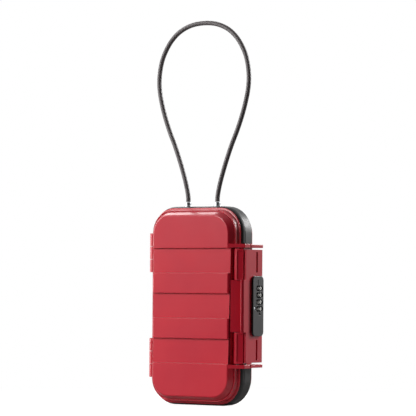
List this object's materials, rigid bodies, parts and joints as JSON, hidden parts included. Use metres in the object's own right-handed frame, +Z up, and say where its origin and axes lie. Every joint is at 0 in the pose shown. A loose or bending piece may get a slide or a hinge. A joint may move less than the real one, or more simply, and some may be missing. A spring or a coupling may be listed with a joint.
{
  "type": "portable car safe",
  "caption": "Slim two-shell lock box that opens like a book, with a side latch carrying a dial combination lock and a steel cable loop on top.",
  "frame": {"origin": "on the surface the safe stands on, in the middle of the bumper's flat underside, half way between the lid's front and the back face", "axes": "+X from the hinges to the latch, +Y from the lid to the back, +Z up through the cable loop"},
  "size_m": [0.125, 0.042, 0.3843],
  "materials": {
    "red_shell": "glossy red moulded ABS",
    "bumper_black": "smooth black moulded band",
    "lock_grey": "satin dark grey moulding",
    "dial_black": "matt black with white figures",
    "steel": "bright zinc-plated steel",
    "brass": "stamped brass",
    "liner_foam": "dark grey closed-cell foam",
    "cable_vinyl": "smoke-coloured vinyl over steel strand"
  },
  "bodies": {
    "base": {"base_shell": "red_shell", "base_bumper": "bumper_black", "base_liner": "liner_foam", "hinge_pin_upper": "steel", "hinge_pin_lower": "steel", "lock_keeper": "steel", "keeper_screw_front": "steel", "keeper_screw_rear": "steel", "cable_ferrule_left": "steel", "cable_ferrule_right": "steel", "cable_eyelet_left": "steel", "cable_eyelet_right": "steel", "cable_retainer": "steel", "retainer_screw_left": "steel", "retainer_screw_right": "steel", "cable_loop": "cable_vinyl"},
    "lid": {"lid_shell": "red_shell", "lid_bumper": "bumper_black", "lid_liner": "liner_foam", "latch_pin_upper": "steel", "latch_pin_lower": "steel"},
    "latch": {"latch_flap": "red_shell", "lock_housing": "lock_grey", "lock_back_plate": "steel", "detent_spring": "brass", "bolt_spring": "steel", "housing_screw_upper": "steel", "housing_screw_lower": "steel", "back_screw_upper": "steel", "back_screw_lower": "steel"},
    "bolt": {"lock_spindle": "steel", "lock_bolt": "steel"},
    "dial_one": {"dial_1": "dial_black", "code_sleeve_1": "brass"},
    "dial_two": {"dial_2": "dial_black", "code_sleeve_2": "brass"},
    "dial_three": {"dial_3": "dial_black", "code_sleeve_3": "brass"},
    "dial_four": {"dial_4": "dial_black", "code_sleeve_4": "brass"},
    "reset": {"reset_button": "steel"}
  },
  "joints": [
    {"name": "lid_hinge", "type": "hinge", "parent": "base", "child": "lid", "pos_m": [-0.057, -0.0036, 0.099], "axis": [0, 0, -1], "range_deg": [0, 170]},
    {"name": "latch_hinge", "type": "hinge", "parent": "lid", "child": "latch", "pos_m": [0.0516, -0.0126, 0.099], "axis": [0, 0, -1], "range_deg": [0, 90]},
    {"name": "bolt_slide", "type": "slide", "parent": "latch", "child": "bolt", "axis": [0, 0, -1], "range_m": [0, 0.0028], "stiffness_N_per_m": 150, "deforming": ["bolt_spring"]},
    {"name": "dial_1_turn", "type": "hinge", "parent": "latch", "child": "dial_one", "pos_m": [0.0587, 0.0095, 0.1167], "axis": [0, 0, 1], "continuous": true},
    {"name": "dial_2_turn", "type": "hinge", "parent": "latch", "child": "dial_two", "pos_m": [0.0587, 0.0095, 0.1099], "axis": [0, 0, 1], "continuous": true},
    {"name": "dial_3_turn", "type": "hinge", "parent": "latch", "child": "dial_three", "pos_m": [0.0587, 0.0095, 0.1031], "axis": [0, 0, 1], "continuous": true},
    {"name": "dial_4_turn", "type": "hinge", "parent": "latch", "child": "dial_four", "pos_m": [0.0587, 0.0095, 0.0963], "axis": [0, 0, 1], "continuous": true},
    {"name": "reset_press", "type": "slide", "parent": "latch", "child": "reset", "axis": [-1, 0, 0], "range_m": [0, 0.0008], "stiffness_N_per_m": 300}
  ]
}
